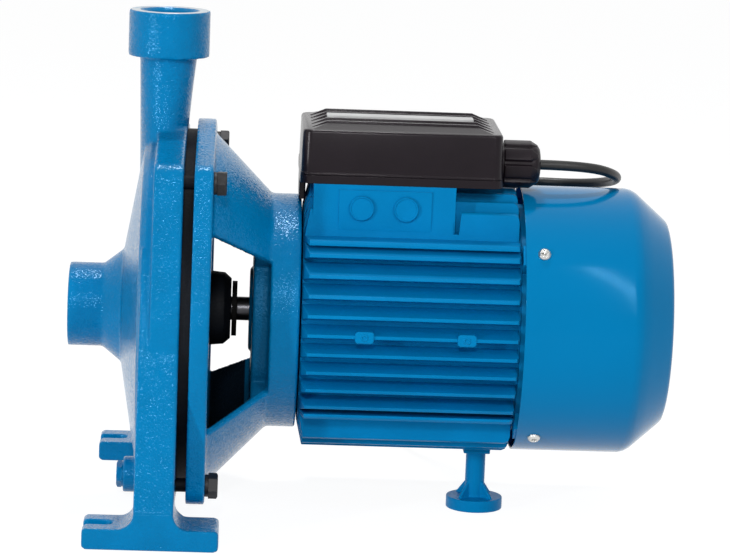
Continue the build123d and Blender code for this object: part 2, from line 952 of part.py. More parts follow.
def motor_foot():
    disc_top = floor_z + motor_foot_disc
    pad_bottom_z = -foot_boss_drop - motor_foot_pad_thickness
    disc = Pos(motor_foot_x, 0, floor_z + motor_foot_disc / 2) * Cylinder(motor_foot_radius, motor_foot_disc)
    column_height = pad_bottom_z - disc_top
    column = Pos(motor_foot_x, 0, disc_top + column_height / 2) * Cylinder(motor_foot_column, column_height)
    pad = block(motor_foot_x - motor_foot_pad, motor_foot_x + motor_foot_pad, -motor_foot_pad, motor_foot_pad,
                pad_bottom_z, -foot_boss_drop)
    body = disc + column + pad
    gusset = make_face(Polyline(
        (0, disc_top - 1),
        (gusset_reach, disc_top - 1),
        (gusset_reach, disc_top + 1),
        (motor_foot_column - 1, disc_top + gusset_rise),
        (0, disc_top + gusset_rise),
        close=True,
    ))
    for quarter in range(4):
        rib = extrude(Plane.XZ * gusset, gusset_thickness / 2, both=True)
        body += Pos(motor_foot_x, 0, 0) * Rot(0, 0, 45 + 90 * quarter) * rib
    return body


gland_face = box_start + box_length + gland_collar_length + gland_nut_length
cord_start = (gland_face, gland_y, gland_height)
coil_outer_turn = coil_turn_radius + coil_turn_pitch
coil_upper_turn = coil_turn_radius + coil_turn_pitch / 2
coil_layer_rise = 5.4
coil_height = 2 * cord_radius + coil_layer_rise
coil_top = floor_z + coil_height
coil_side_x = coil_center_x - coil_outer_turn
plug_y = coil_center_y + coil_upper_turn
plug_start = coil_center_x + plug_tail
cord_route = [
    cord_start,
    (251.0, gland_y, gland_height),
    (273.0, 3.0, 88.0),
    (274.0, 35.0, 79.5),
    (252.0, 59.5, 74.0),
    (218.0, 66.0, 73.5),
    (190.0, 78.0, 62.0),
    (180.0, 97.0, 32.0),
    (175.0, 110.0, -10.0),
    (167.0, 128.0, -54.0),
    (157.0, 150.0, -90.0),
    (coil_side_x, 180.0, floor_z + 2 * cord_radius),
    (coil_side_x, coil_center_y, floor_z + cord_radius),
]


def cord_radii(points):
    """The largest arc that each corner's two runs allow."""
    radii = []
    for before, here, after in zip(points, points[1:], points[2:]):
        first = Vector(*here) - Vector(*before)
        second = Vector(*after) - Vector(*here)
        half_turn = math.radians(first.get_angle(second)) / 2
        shorter = min(first.length, second.length)
        radii.append(0.45 * shorter / math.tan(half_turn))
    return radii


def cord_lead():
    radii = cord_radii(cord_route)
    path = FilletPolyline(*cord_route, radius=radii)
    direction = Vector(*cord_route[1]) - Vector(*cord_route[0])
    section = Plane(origin=cord_route[0], z_dir=direction) * Circle(cord_radius)
    tube = sweep(section, path=path)
    print("cord arcs", [round(r, 1) for r in radii])
    expected = math.pi * cord_radius ** 2 * path.length
    print("cord length", round(path.length, 1), "volume share", round(tube.volume / expected, 4))
    return tube


def cord_coil():
    """The outer shape of five turns: three on the floor and two in the grooves between them."""
    low_half = 1.5 * coil_turn_pitch
    high_half = coil_turn_pitch
    shoulder = floor_z + 1.6 * cord_radius
    section = make_face(Polyline(
        (coil_turn_radius - low_half, floor_z),
        (coil_turn_radius + low_half, floor_z),
        (coil_turn_radius + low_half, shoulder),
        (coil_turn_radius + high_half, coil_top),
        (coil_turn_radius - high_half, coil_top),
        (coil_turn_radius - low_half, shoulder),
        close=True,
    ))
    ring = revolve(Plane.XZ * section, Axis.Z, 360)
    return Pos(coil_center_x, coil_center_y, 0) * ring


def coil_tie():
    """A strap round the coil's bundle, opposite the lead and standing off by tie_gap."""
    inner = 1.5 * coil_turn_pitch + tie_gap + 0.2
    outer = inner + tie_thickness
    middle = coil_center_x + coil_turn_radius
    ring = block(middle - outer, middle + outer, -tie_width / 2, tie_width / 2, floor_z,
                 coil_top + tie_gap + tie_thickness)
    ring -= block(middle - inner, middle + inner, -tie_width, tie_width, floor_z - 1, coil_top + tie_gap)
    return Pos(0, coil_center_y, 0) * ring


def cord_tail():
    return rod(coil_center_x, plug_start, cord_radius, plug_y, floor_z + plug_radius)


def plug_body():
    """A moulded plug with its tapered strain relief, lying on the floor."""
    relief_end = plug_start + plug_relief_length
    shoulder = relief_end + 4
    outline = make_face(Polyline(
        (plug_start, 0),
        (plug_start, plug_relief_tip_radius),
        (relief_end, plug_relief_radius),
        (shoulder, plug_radius),
        (relief_end + plug_length, plug_radius),
        (relief_end + plug_length, 0),
        close=True,
    ))
    return Pos(0, plug_y, floor_z + plug_radius) * revolve(outline, Axis.X, 360)


def plug_pins():
    start = plug_start + plug_relief_length + plug_length
    pins = []
    for side in (-0.5, 0.5):
        pins.append(rod(start, start + plug_pin_length, plug_pin_radius, plug_y + side * plug_pin_spacing,
                        floor_z + plug_radius))
    return Compound(pins)


save("volute_casing", volute_casing())
save("discharge_neck", discharge_neck())
save("near_leg", leg(-1))
save("far_leg", leg(1))
save("drain_plug", drain_plug())
save("seal_cover", seal_cover())
save("lantern_bracket", lantern_bracket())
save("flange_bolts", flange_bolts())
save("shaft", shaft())
save("front_bearing", front_bearing())
save("rear_bearing", rear_bearing())
save("impeller", impeller())
save("impeller_nut", impeller_nut())
save("shaft_seal", shaft_seal())
save("shaft_slinger", shaft_slinger())
save("motor_frame", motor_frame())
save("rear_end_shield", rear_end_shield())
save("fan_cover", fan_cover())
save("fan_cover_screws", fan_cover_screws())
save("cooling_fan", cooling_fan())
save("fan_clip", fan_clip())
save("terminal_box_base", terminal_box_base())
save("terminal_box_lid", terminal_box_lid())
save("gland_body", gland_body())
save("gland_nut", gland_nut())
save("motor_foot", motor_foot())
save("cord_lead", cord_lead())
save("cord_coil", cord_coil())
save("coil_tie", coil_tie())
save("cord_tail", cord_tail())
save("plug_body", plug_body())
save("plug_pins", plug_pins())
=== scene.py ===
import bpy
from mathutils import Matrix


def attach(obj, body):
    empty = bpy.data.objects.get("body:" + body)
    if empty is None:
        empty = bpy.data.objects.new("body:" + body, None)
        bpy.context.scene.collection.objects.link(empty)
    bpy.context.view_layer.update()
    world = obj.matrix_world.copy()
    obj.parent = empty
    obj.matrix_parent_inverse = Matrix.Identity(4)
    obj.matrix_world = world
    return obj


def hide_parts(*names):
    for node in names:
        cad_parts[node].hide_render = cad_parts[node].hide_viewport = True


bl_info = {
    "name": "Centrifugal Pump",
    "version": (1, 0, 0),
    "blender": (4, 5, 0),
    "location": "View3D > Sidebar > Pump",
    "description": "Dresses a small centrifugal pump: castings, motor, terminal box, flex and studio",
    "category": "Object",
}

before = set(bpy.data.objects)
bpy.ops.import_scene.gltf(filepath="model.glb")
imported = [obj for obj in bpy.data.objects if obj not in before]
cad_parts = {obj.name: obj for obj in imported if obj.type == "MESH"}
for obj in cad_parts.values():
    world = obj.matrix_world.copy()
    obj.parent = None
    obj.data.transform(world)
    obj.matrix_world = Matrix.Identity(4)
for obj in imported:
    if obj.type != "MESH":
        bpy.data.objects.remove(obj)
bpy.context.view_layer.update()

import math

import bmesh
import bpy
from bpy.props import FloatProperty, FloatVectorProperty, IntProperty, PointerProperty
from mathutils import Matrix, Vector

STILL = "pump_body"
TURNING = "rotor"

# Where millimetres from the discharge port's axis and the shaft lie in the frame
MM = 0.001
MM_PER_METRE = 1000.0
PORT_X = -0.12275
SHAFT_Z = 0.118
FLOOR = -118.0

# Corners closer than this, in metres, become one
WELD = 0.000002

# Pump end, in millimetres
DISCHARGE_MOUTH = 178.0
SUCTION_MOUTH = -55.5
LANTERN_START = 29.5
LANTERN_LENGTH = 34.5
LANTERN_RADIUS = 105.0
LANTERN_NARROWING = 35.0
BOLT_CIRCLE = 125.0

# Motor and terminal box, in millimetres
COVER_RADIUS = 79.7
COVER_SCREW_X = 222.6
FIN_TIPS = 80.4
LUG_PLACES = (119.0, 178.4)
CONDUIT_PLACES = (116.0, 142.0)
CONDUIT_FACE = 45.7
CONDUIT_HEIGHT = 70.0
BOX_ENDS = (79.4, 198.5)
BOX_SIDE = 43.0
GLAND_Y = -16.0
GLAND_HEIGHT = 95.2

# Flex and its coil, in millimetres
CORD_RADIUS = 3.0
COIL_X = 190.0
COIL_Y = 205.0
COIL_RADIUS = 41.2
COIL_PITCH = 6.2
TURN_STEPS = 16
CORD_EXIT = (221.5, GLAND_Y, GLAND_HEIGHT)
CORD_ROUTE = [
    CORD_EXIT,
    (251.0, GLAND_Y, GLAND_HEIGHT),
    (271.0, 3.0, 87.5),
    (271.5, 35.0, 79.0),
    (251.0, 59.0, 73.5),
    (218.0, 65.5, 73.5),
    (190.0, 78.0, 62.0),
    (180.0, 97.0, 32.0),
    (175.0, 110.0, -10.0),
    (167.0, 128.0, -54.0),
    (157.0, 150.0, -90.0),
    (149.0, 180.0, -111.0),
]

# Tints of mirrored light, the painted shade of the lantern's hollow and the colour of smeared paint, and the
# radii of edges that shaders round, in metres
ENAMEL_GLOSS = (0.14, 0.40, 0.66, 1.0)
PLASTIC_GLOSS = (0.34, 0.33, 0.34, 1.0)
# Painted shade: the near-black colour put inside the lantern's hollow
HOLLOW_PAINTED_SHADE = (0.002, 0.006, 0.012, 1.0)
PAINT_SMEAR = (0.28, 0.42, 0.55, 1.0)
SOFT_EDGE = 0.0006
CRISP_EDGE = 0.0004

# Lamps: place and size in metres, and power in watts
LAMP_TARGET = (0.0, 0.0, 0.14)
LAMPS = {
    "front_lamp": ((-0.16, -2.05, 1.05), (0.09, 0.24), 12.5),
    "key_lamp": ((0.90, -1.85, 1.50), (0.05, 1.7), 12.0),
    "left_strip": ((-1.55, -1.4, 0.42), (0.07, 0.45), 14.0),
    "top_lamp": ((-0.06, 0.3, 1.6), (0.24, 0.08), 7.5),
}

# Camera, fitted to the photograph's edges: metres, degrees and millimetres of lens
CAMERA_PLACE = (-0.07974, -1.94960, 0.48287)
CAMERA_PITCH = 10.033
CAMERA_HEADING = 2.297
CAMERA_ROLL = 2.2
CAMERA_LENS = 162.74


def at(x, y, z):
    """A point in millimetres from the discharge port's axis and the shaft, in the frame's metres."""
    return Vector((x * MM + PORT_X, y * MM, z * MM + SHAFT_Z))


class Tone:
    """A socket whose arithmetic adds Math nodes, so that shader maths reads as an expression."""

    def __init__(self, paint, socket):
        self.paint = paint
        self.socket = socket

    def _math(self, operation, first, second):
        return self.paint.node("ShaderNodeMath", {"operation": operation}, {0: first, 1: second})

    def __add__(self, other):
        return self._math("ADD", self, other)

    def __radd__(self, other):
        return self._math("ADD", other, self)

    def __sub__(self, other):
        return self._math("SUBTRACT", self, other)

    def __rsub__(self, other):
        return self._math("SUBTRACT", other, self)

    def __mul__(self, other):
        return self._math("MULTIPLY", self, other)

    def __pow__(self, other):
        return self._math("POWER", self, other)

    def larger(self, other):
        """The larger of two values."""
        return self._math("MAXIMUM", self, other)

    def band(self, low, high):
        """0 below low, 1 above high and smooth between them."""
        settings = {"interpolation_type": "SMOOTHSTEP"}
        values = {"Value": self, "From Min": low, "From Max": high}
        return self.paint.node("ShaderNodeMapRange", settings, values)

    def beside(self, output):
        """Another output of the same node."""
        return Tone(self.paint, self.socket.node.outputs[output])


class Paint:
    """The shader of one material or world, whose nodes are added by name and joined by their sockets."""

    def __init__(self, owner, output="ShaderNodeOutputMaterial"):
        self.owner = owner
        owner.use_nodes = True
        self.tree = owner.node_tree
        self.tree.nodes.clear()
        self.out = self.tree.nodes.new(output)

    def node(self, kind, settings, values, output=0):
        """Adds a node, sets its settings, then its sockets to numbers or links, and gives one output."""
        made = self.tree.nodes.new(kind)
        for key, value in settings.items():
            setattr(made, key, value)
        for key, value in values.items():
            if isinstance(value, Tone):
                self.tree.links.new(value.socket, made.inputs[key])
            else:
                made.inputs[key].default_value = value
        return Tone(self, made.outputs[output])

    @property
    def place(self):
        """A point's place in its piece's own coordinates."""
        return self.node("ShaderNodeTexCoord", {}, {}, "Object")

    def noise(self, scale, detail=2.0, roughness=0.5, place=None):
        """Cloudy noise from 0 to 1, with this many waves to a metre."""
        values = {"Vector": place or self.place, "Scale": scale, "Detail": detail, "Roughness": roughness}
        return self.node("ShaderNodeTexNoise", {}, values, "Fac")

    def blend(self, mask, first, second):
        """One colour into another by a mask."""
        factor, first_colour, second_colour, result = 0, 6, 7, 2
        values = {factor: mask, first_colour: first, second_colour: second}
        return self.node("ShaderNodeMix", {"data_type": "RGBA"}, values, result)

    def bump(self, height, distance, strength, edge=0.0):
        """A normal that follows a height, over edges that are rounded by a radius."""
        values = {"Height": height, "Distance": distance, "Strength": strength}
        if edge:
            values["Normal"] = self.node("ShaderNodeBevel", {"samples": 6}, {"Radius": edge}, "Normal")
        return self.node("ShaderNodeBump", {}, values, "Normal")

    def vector(self, operation, values):
        """One step of vector maths."""
        return self.node("ShaderNodeVectorMath", {"operation": operation}, values, "Vector")

    def facets(self, scale, tilt, normal):
        """Tilts a normal by a random amount in each small cell, as the pebbles of thick enamel do."""
        cells = self.node("ShaderNodeTexVoronoi", {}, {"Vector": self.place, "Scale": scale}, "Color")
        lean = self.vector("SUBTRACT", {0: cells, 1: (0.5, 0.5, 0.5)})
        lean = self.vector("SCALE", {0: lean, "Scale": tilt})
        leant = self.vector("ADD", {0: normal, 1: lean})
        return self.vector("NORMALIZE", {0: leant})

    def seen(self):
        """1 for what the camera sees, straight or mirrored or through glass, and 0 for light on the pump."""
        camera = self.node("ShaderNodeLightPath", {}, {}, "Is Camera Ray")
        return camera.larger(camera.beside("Is Glossy Ray")).larger(camera.beside("Is Transmission Ray"))

    def close(self, shader):
        """Joins the last shader to the output and gives the material or the world."""
        self.tree.links.new(shader.socket, self.out.inputs["Surface"])
        return self.owner

    def surface(self, **values):
        """Ends in the Principled shader: names are the sockets', with _ for a space."""
        picks = {key.replace("_", " "): value for key, value in values.items()}
        return self.close(self.node("ShaderNodeBsdfPrincipled", {}, picks, "BSDF"))


def new_paint(name):
    """A new material's shader."""
    return Paint(bpy.data.materials.new(name))


def shade(colour, share=1.0):
    """A colour made lighter or darker by a share, for a colour socket."""
    return tuple(channel * share for channel in colour[:3]) + (1.0,)


def lantern_shade_mask(paint):
    """Mask of painted shade: 1 inside the lantern's cone and 0 outside it, and a half from the end shield on.
    """
    x = paint.node("ShaderNodeSeparateXYZ", {}, {"Vector": paint.place}, "X")
    along = (x - PORT_X) * MM_PER_METRE
    across = x.beside("Y") * MM_PER_METRE
    height = (x.beside("Z") - SHAFT_Z) * MM_PER_METRE
    radius = (across * across + height * height) ** 0.5
    cone = LANTERN_RADIUS - (along - LANTERN_START) * (LANTERN_NARROWING / LANTERN_LENGTH)
    return (cone - radius).band(4.0, 5.6) * along.band(28.0, 30.5) * (1.0 - along.band(50.9, 51.4) * 0.5)


def cast_enamel(name, colour, roughness, hollow=False):
    """Thick gloss enamel over sand-cast iron: pebbled, with soft pooling; the lantern's hollow gets painted
    shade, near black.
    """
    paint = new_paint(name)
    pebble = paint.noise(760.0, 1.0)
    swell = paint.noise(210.0)
    pool = paint.noise(38.0, 3.0, 0.6)
    colours = paint.blend(pool.band(0.35, 0.7), shade(colour, 0.9), shade(colour))
    rough = roughness + pool.band(0.3, 0.8) * 0.05
    if hollow:
        # Painted shade: inside the lantern's cone the enamel is coloured near black, and from the end
        # shield's face on it is half as dark
        inside = lantern_shade_mask(paint)
        colours = paint.blend(inside, colours, HOLLOW_PAINTED_SHADE)
        rough = rough + inside * 0.4
    pebbled = paint.bump(pebble * 0.5 + swell * 0.3, 0.0006, 1.0, SOFT_EDGE)
    return paint.surface(Base_Color=colours, Roughness=rough, Normal=paint.facets(1150.0, 0.19, pebbled),
                         Specular_IOR_Level=0.42, Specular_Tint=ENAMEL_GLOSS)


def motor_enamel(colour, roughness):
    """Thin satin enamel on pressure die-cast aluminium."""
    paint = new_paint("motor_enamel")
    grain = paint.noise(900.0)
    flow = paint.noise(130.0)
    drift = paint.noise(30.0, 3.0)
    colours = paint.blend(drift.band(0.3, 0.75), shade(colour, 0.9), shade(colour))
    normal = paint.bump(grain * 0.5 + flow, 0.0003, 0.6, SOFT_EDGE)
    return paint.surface(Base_Color=colours, Roughness=roughness + grain * 0.1, Normal=normal,
                         Specular_IOR_Level=0.25, Specular_Tint=ENAMEL_GLOSS)


def sheet_enamel(colour, roughness):
    """Smooth stoved gloss enamel on spun sheet steel."""
    paint = new_paint("sheet_enamel")
    wave = paint.noise(14.0, 2.0, 0.4)
    peel = paint.noise(1100.0, 1.0)
    colours = paint.blend(wave.band(0.3, 0.7), shade(colour, 0.97), shade(colour))
    normal = paint.bump(peel, 0.00003, 0.5, SOFT_EDGE)
    return paint.surface(Base_Color=colours, Roughness=roughness + peel * 0.04, Normal=normal,
                         Specular_IOR_Level=0.22, Specular_Tint=ENAMEL_GLOSS)


def moulded_plastic(name, colour, roughness, grain_scale, level=0.3):
    """Fine-grained plastic."""
    paint = new_paint(name)
    grain = paint.noise(grain_scale, 2.0, 0.6)
    cloud = paint.noise(60.0)
    colours = paint.blend(cloud.band(0.3, 0.7), shade(colour, 0.85), shade(colour))
    normal = paint.bump(grain, 0.00006, 0.5, 0.0005)
    return paint.surface(Base_Color=colours, Roughness=roughness + grain * 0.1, Normal=normal,
                         Specular_IOR_Level=level, Specular_Tint=PLASTIC_GLOSS)


def bare_metal(name, colour, roughness, lathe=None):
    """Steel or brass with fine scratches, and marks that a lathe draws out along its scale."""
    paint = new_paint(name)
    scratch = paint.noise(1400.0, 2.0, 0.6)
    haze = paint.noise(90.0, 3.0, 0.6)
    colours = paint.blend(haze.band(0.3, 0.7), shade(colour, 0.8), shade(colour))
    height = scratch
    if lathe is not None:
        spread = paint.node("ShaderNodeMapping", {}, {"Vector": paint.place, "Scale": lathe})
        height = paint.noise(300.0, 2.0, 0.6, spread) + scratch * 0.3
    normal = paint.bump(height, 0.00006, 0.6, 0.0003)
    return paint.surface(Base_Color=colours, Metallic=1.0, Roughness=roughness + haze * 0.12, Normal=normal)


def machined_face(colour, roughness):
    """A cut face of grey iron, with a little paint smeared over it."""
    paint = new_paint("machined_face")
    speck = paint.noise(700.0, 2.0, 0.6)
    drift = paint.noise(120.0, 3.0, 0.6)
    colours = paint.blend(drift.band(0.45, 0.75), shade(colour), PAINT_SMEAR)
    normal = paint.bump(speck, 0.0001, 0.6, CRISP_EDGE)
    return paint.surface(Base_Color=colours, Metallic=0.6, Roughness=roughness + speck * 0.15, Normal=normal)


def black_oxide(colour, roughness):
    """Blackened steel of bolt heads."""
    paint = new_paint("black_oxide")
    haze = paint.noise(400.0, 3.0, 0.6)
    colours = paint.blend(haze.band(0.35, 0.7), shade(colour, 0.6), shade(colour))
    normal = paint.bump(haze, 0.00008, 0.6, CRISP_EDGE)
    return paint.surface(Base_Color=colours, Metallic=0.2, Roughness=roughness + haze * 0.2, Normal=normal,
                         Specular_IOR_Level=0.4)


def dark_primer(colour, roughness):
    """Matt primer on rough cast iron."""
    paint = new_paint("dark_primer")
    sand = paint.noise(700.0, 2.0, 0.6)
    dust = paint.noise(80.0, 3.0, 0.6)
    colours = paint.blend(dust.band(0.3, 0.75), shade(colour, 0.6), shade(colour))
    normal = paint.bump(sand, 0.0004, 0.5, SOFT_EDGE)
    return paint.surface(Base_Color=colours, Roughness=roughness + sand * 0.15, Normal=normal,
                         Specular_IOR_Level=0.15)


def flex_rubber(colour, roughness):
    """Black rubber with a little talc on it."""
    paint = new_paint("flex_rubber")
    talc = paint.noise(220.0, 3.0, 0.6)
    grain = paint.noise(1600.0, 1.0)
    colours = paint.blend(talc.band(0.4, 0.8), shade(colour), shade(colour, 1.6))
    normal = paint.bump(grain, 0.00005, 0.4)
    return paint.surface(Base_Color=colours, Roughness=roughness + talc * 0.12, Normal=normal,
                         Specular_IOR_Level=0.4)


FINISHES = {
    "cast_paint": lambda look: cast_enamel("cast_enamel", look.enamel, look.cast_roughness),
    "lantern_paint": lambda look: cast_enamel("lantern_enamel", look.enamel, look.cast_roughness, True),
    "motor_paint": lambda look: motor_enamel(look.motor_colour, look.motor_roughness),
    "cover_paint": lambda look: sheet_enamel(look.enamel, look.cover_roughness),
    "dark_iron": lambda look: dark_primer((0.004, 0.006, 0.010), 0.55),
    "black_steel": lambda look: black_oxide((0.02, 0.02, 0.022), 0.38),
    "shaft_steel": lambda look: bare_metal("ground_shaft", (0.10, 0.10, 0.11), 0.3, (1.0, 0.05, 0.05)),
    "bearing_steel": lambda look: bare_metal("bearing_steel", (0.60, 0.60, 0.62), 0.22),
    "impeller_brass": lambda look: bare_metal("cast_brass", (0.62, 0.45, 0.18), 0.35),
    "seal_rubber": lambda look: moulded_plastic("seal_rubber", (0.005, 0.005, 0.005), 0.55, 900.0, 0.2),
    "screw_steel": lambda look: bare_metal("zinc_plate", (0.66, 0.66, 0.64), 0.22),
    "fan_plastic": lambda look: moulded_plastic("fan_plastic", (0.02, 0.02, 0.02), 0.5, 900.0),
    "box_plastic": lambda look: moulded_plastic("box_plastic", look.box_colour, 0.2, 1500.0, 0.5),
    "gland_plastic": lambda look: moulded_plastic("gland_plastic", look.box_colour, 0.3, 1200.0, 0.5),
    "label_blank": lambda look: moulded_plastic("label_blank", (0.62, 0.62, 0.62), 0.3, 1500.0, 0.5),
    "cord_rubber": lambda look: flex_rubber((0.010, 0.010, 0.010), 0.32),
    "plug_plastic": lambda look: moulded_plastic("plug_plastic", (0.014, 0.014, 0.014), 0.3, 1100.0),
    "pin_brass": lambda look: bare_metal("nickel_plate", (0.72, 0.69, 0.60), 0.2),
    "machined_iron": lambda look: machined_face((0.55, 0.60, 0.63), 0.34),
}
MADE = {}


def finish_of(name):
    """The material of a finish, made when it is first asked for."""
    if name not in MADE:
        MADE[name] = FINISHES[name](bpy.context.scene.pump_finish)
    return MADE[name]


def to_mesh(name, shape, angle):
    """A mesh from a shape, smooth but for edges sharper than this angle."""
    for face in shape.faces:
        face.smooth = True
    limit = math.radians(angle)
    for edge in shape.edges:
        edge.smooth = len(edge.link_faces) == 2 and edge.calc_face_angle(0.0) < limit
    mesh = bpy.data.meshes.new(name)
    shape.to_mesh(mesh)
    shape.free()
    return mesh


def add_piece(name, mesh, finish, body, nodes=()):
    """Puts a finished mesh into the scene: named, painted, riding on its body, in place of its nodes."""
    piece = bpy.data.objects.new(name, mesh)
    bpy.context.scene.collection.objects.link(piece)
    mesh.materials.clear()
    mesh.materials.append(finish_of(finish))
    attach(piece, body)
    if nodes:
        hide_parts(*nodes)
    return piece


def add_shape(name, shape, angle, finish, nodes=()):
    """Puts a shape that was built here on the body that stands still."""
    bmesh.ops.remove_doubles(shape, verts=shape.verts, dist=WELD)
    bmesh.ops.recalc_face_normals(shape, faces=shape.faces)
    return add_piece(name, to_mesh(name, shape, angle), finish, STILL, nodes)


def node_shape(*nodes):
    """A welded copy of CAD nodes' meshes."""
    shape = bmesh.new()
    for node in nodes:
        shape.from_mesh(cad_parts[node].data)
    bmesh.ops.remove_doubles(shape, verts=shape.verts, dist=WELD)
    return shape


def dress_node(node, finish, body):
    """A CAD node whose shape is right: a welded copy with smooth curves and sharp edges."""
    name = node + "_skin"
    add_piece(name, to_mesh(name, node_shape(node), 32.0), finish, body, (node,))


def soften_casting(nodes, name, finish, voxel, rounds, kept):
    """A casting from its CAD nodes, grown into one skin with the round edges and fillets of a sand mould."""
    piece = add_piece(name, to_mesh(name, node_shape(*nodes), 180.0), finish, STILL, nodes)
    remesh = piece.modifiers.new("mould", "REMESH")
    remesh.mode = "VOXEL"
    remesh.voxel_size = voxel
    remesh.use_smooth_shade = True
    smooth = piece.modifiers.new("fettle", "SMOOTH")
    smooth.factor = 0.5
    smooth.iterations = rounds
    thin = piece.modifiers.new("thin_out", "DECIMATE")
    thin.ratio = kept
    bpy.context.view_layer.update()
    graph = bpy.context.evaluated_depsgraph_get()
    grown = bpy.data.meshes.new_from_object(piece.evaluated_get(graph))
    piece.modifiers.clear()
    old = piece.data
    piece.data = grown
    bpy.data.meshes.remove(old)
    grown.materials.clear()
    grown.materials.append(finish_of(finish))


def facing(direction, place):
    """Turns a shape drawn along +Z to a direction and carries it to a place in millimetres."""
    turn = Vector(direction).to_track_quat("Z", "Y").to_matrix().to_4x4()
    return Matrix.Translation(at(*place)) @ turn


def turned(degrees):
    """A turn about a shape's own Z."""
    return Matrix.Rotation(math.radians(degrees), 4, "Z")


def gathered(parts, places=(Matrix.Identity(4),)):
    """One shape with a copy of each part at each place; the parts are used up."""
    shape = bmesh.new()
    for place in places:
        for part in parts:
            mesh = bpy.data.meshes.new("part")
            part.to_mesh(mesh)
            mesh.transform(place)
            shape.from_mesh(mesh)
            bpy.data.meshes.remove(mesh)
    for part in parts:
        part.free()
    return shape


def block(length, width, height):
    """A box in millimetres round the origin."""
    shape = bmesh.new()
    bmesh.ops.create_cube(shape, size=1.0)
    bmesh.ops.scale(shape, vec=(length * MM, width * MM, height * MM), verts=shape.verts)
    return shape


def round_edges(shape, edges, offset, segments):
    """Rounds edges by an offset in millimetres."""
    bmesh.ops.bevel(shape, geom=edges, offset=offset * MM, offset_type="OFFSET", affect="EDGES",
                    segments=segments, profile=0.5, material=-1)


def upright_edges(shape):
    """The edges that run along Z."""
    return [e for e in shape.edges if abs(e.verts[0].co.z - e.verts[1].co.z) > WELD]


def ring_about_z(outline, steps, closed=False):
    """Revolves (height, radius) points in millimetres round Z."""
    shape = bmesh.new()
    points = outline + (outline[:1] if closed else [])
    ring = [shape.verts.new((radius * MM, 0.0, height * MM)) for height, radius in points]
    path = [shape.edges.new(pair) for pair in zip(ring, ring[1:])]
    bmesh.ops.spin(shape, geom=ring + path, cent=(0, 0, 0), axis=(0, 0, 1), dvec=(0, 0, 0),
                   angle=2 * math.pi, steps=steps, use_merge=True, use_duplicate=False)
    bmesh.ops.remove_doubles(shape, verts=shape.verts, dist=WELD)
    return shape


def hexagon(width, low, high):
    """A hexagonal prism in millimetres along Z, whose upper corners are turned off at 30 degrees."""
    shape = bmesh.new()
    corner = width / math.sqrt(3.0) * MM
    bmesh.ops.create_cone(shape, cap_ends=True, segments=6, radius1=corner, radius2=corner,
                          depth=(high - low) * MM, matrix=Matrix.Translation((0, 0, (high + low) / 2 * MM)))
    cuts = 36
    tilt = math.radians(60.0)
    flat_radius = width / 2 * 0.96 * MM
    for i in range(cuts):
        angle = i * 2 * math.pi / cuts
        across = Vector((math.cos(angle), math.sin(angle), 0.0))
        normal = across * math.cos(tilt) + Vector((0.0, 0.0, math.sin(tilt)))
        edge = across * flat_radius + Vector((0.0, 0.0, high * MM))
        cut = bmesh.ops.bisect_plane(shape, geom=shape.verts[:] + shape.edges[:] + shape.faces[:],
                                     plane_co=edge, plane_no=normal, clear_outer=True)
        rim = [item for item in cut["geom_cut"] if isinstance(item, bmesh.types.BMEdge)]
        if len(rim) > 2:
            bmesh.ops.edgeloop_fill(shape, edges=rim)
    return shape


def rounded_box(low, high, corner, edge=0.0, draft=0.0):
    """A box in millimetres between two corners, with round upright and top edges and drafted sides."""
    size = [b - a for a, b in zip(low, high)]
    middle = [(a + b) / 2 for a, b in zip(low, high)]
    shape = block(*size)
    round_edges(shape, upright_edges(shape), corner, 5)
    top = [v for v in shape.verts if v.co.z > 0.0]
    if draft:
        pull = size[2] * math.tan(math.radians(draft))
        bmesh.ops.scale(shape, vec=(1.0 - 2 * pull / size[0], 1.0 - 2 * pull / size[1], 1.0), verts=top)
    if edge:
        round_edges(shape, [e for e in shape.edges if e.verts[0] in top and e.verts[1] in top], edge, 3)
    bmesh.ops.translate(shape, vec=at(*middle), verts=shape.verts)
    return shape


def ramped_bar(inset, ramp, low, high, width, edge, narrowed=0.75, y=0.0):
    """A raised bar along the terminal box, inset from its ends, level on top with a ramp at each end."""
    start = BOX_ENDS[0] + inset
    end = BOX_ENDS[1] - inset
    length = end - start
    shape = block(length, width, high - low)
    top = [v for v in shape.verts if v.co.z > 0.0]
    bmesh.ops.scale(shape, vec=((length - 2 * ramp) / length, narrowed, 1.0), verts=top)
    round_edges(shape, [e for e in shape.edges if e.verts[0] in top or e.verts[1] in top], edge, 2)
    bmesh.ops.translate(shape, vec=at((start + end) / 2, y, (low + high) / 2), verts=shape.verts)
    return shape


def box_corners(inset, low, high):
    """Two corners of a box between two heights, this far inside the terminal box's outline."""
    return (BOX_ENDS[0] + inset, inset - BOX_SIDE, low), (BOX_ENDS[1] - inset, BOX_SIDE - inset, high)


def coil_points():
    """Control points of the coil: in along the floor, up a layer and out again, clockwise from above."""
    floor_steps, rise_steps, top_steps = 42, 5, 35
    floor_height = FLOOR + CORD_RADIUS + 0.2
    inner_radius = COIL_RADIUS - COIL_PITCH * (floor_steps - 1) / TURN_STEPS
    lay = [(COIL_RADIUS - COIL_PITCH * i / TURN_STEPS, floor_height) for i in range(floor_steps)]
    lay += [(inner_radius + 0.2 * i, floor_height + COIL_PITCH * i / rise_steps)
            for i in range(1, rise_steps)]
    lay += [(inner_radius + 1.0 + COIL_PITCH * i / TURN_STEPS, floor_height + COIL_PITCH)
            for i in range(top_steps)]
    reach = 1.02
    points = []
    for i, (radius, height) in enumerate(lay):
        angle = math.pi - i * 2 * math.pi / TURN_STEPS
        x = COIL_X + radius * reach * math.cos(angle)
        y = COIL_Y + radius * reach * math.sin(angle)
        points.append((x, y, height))
    return points


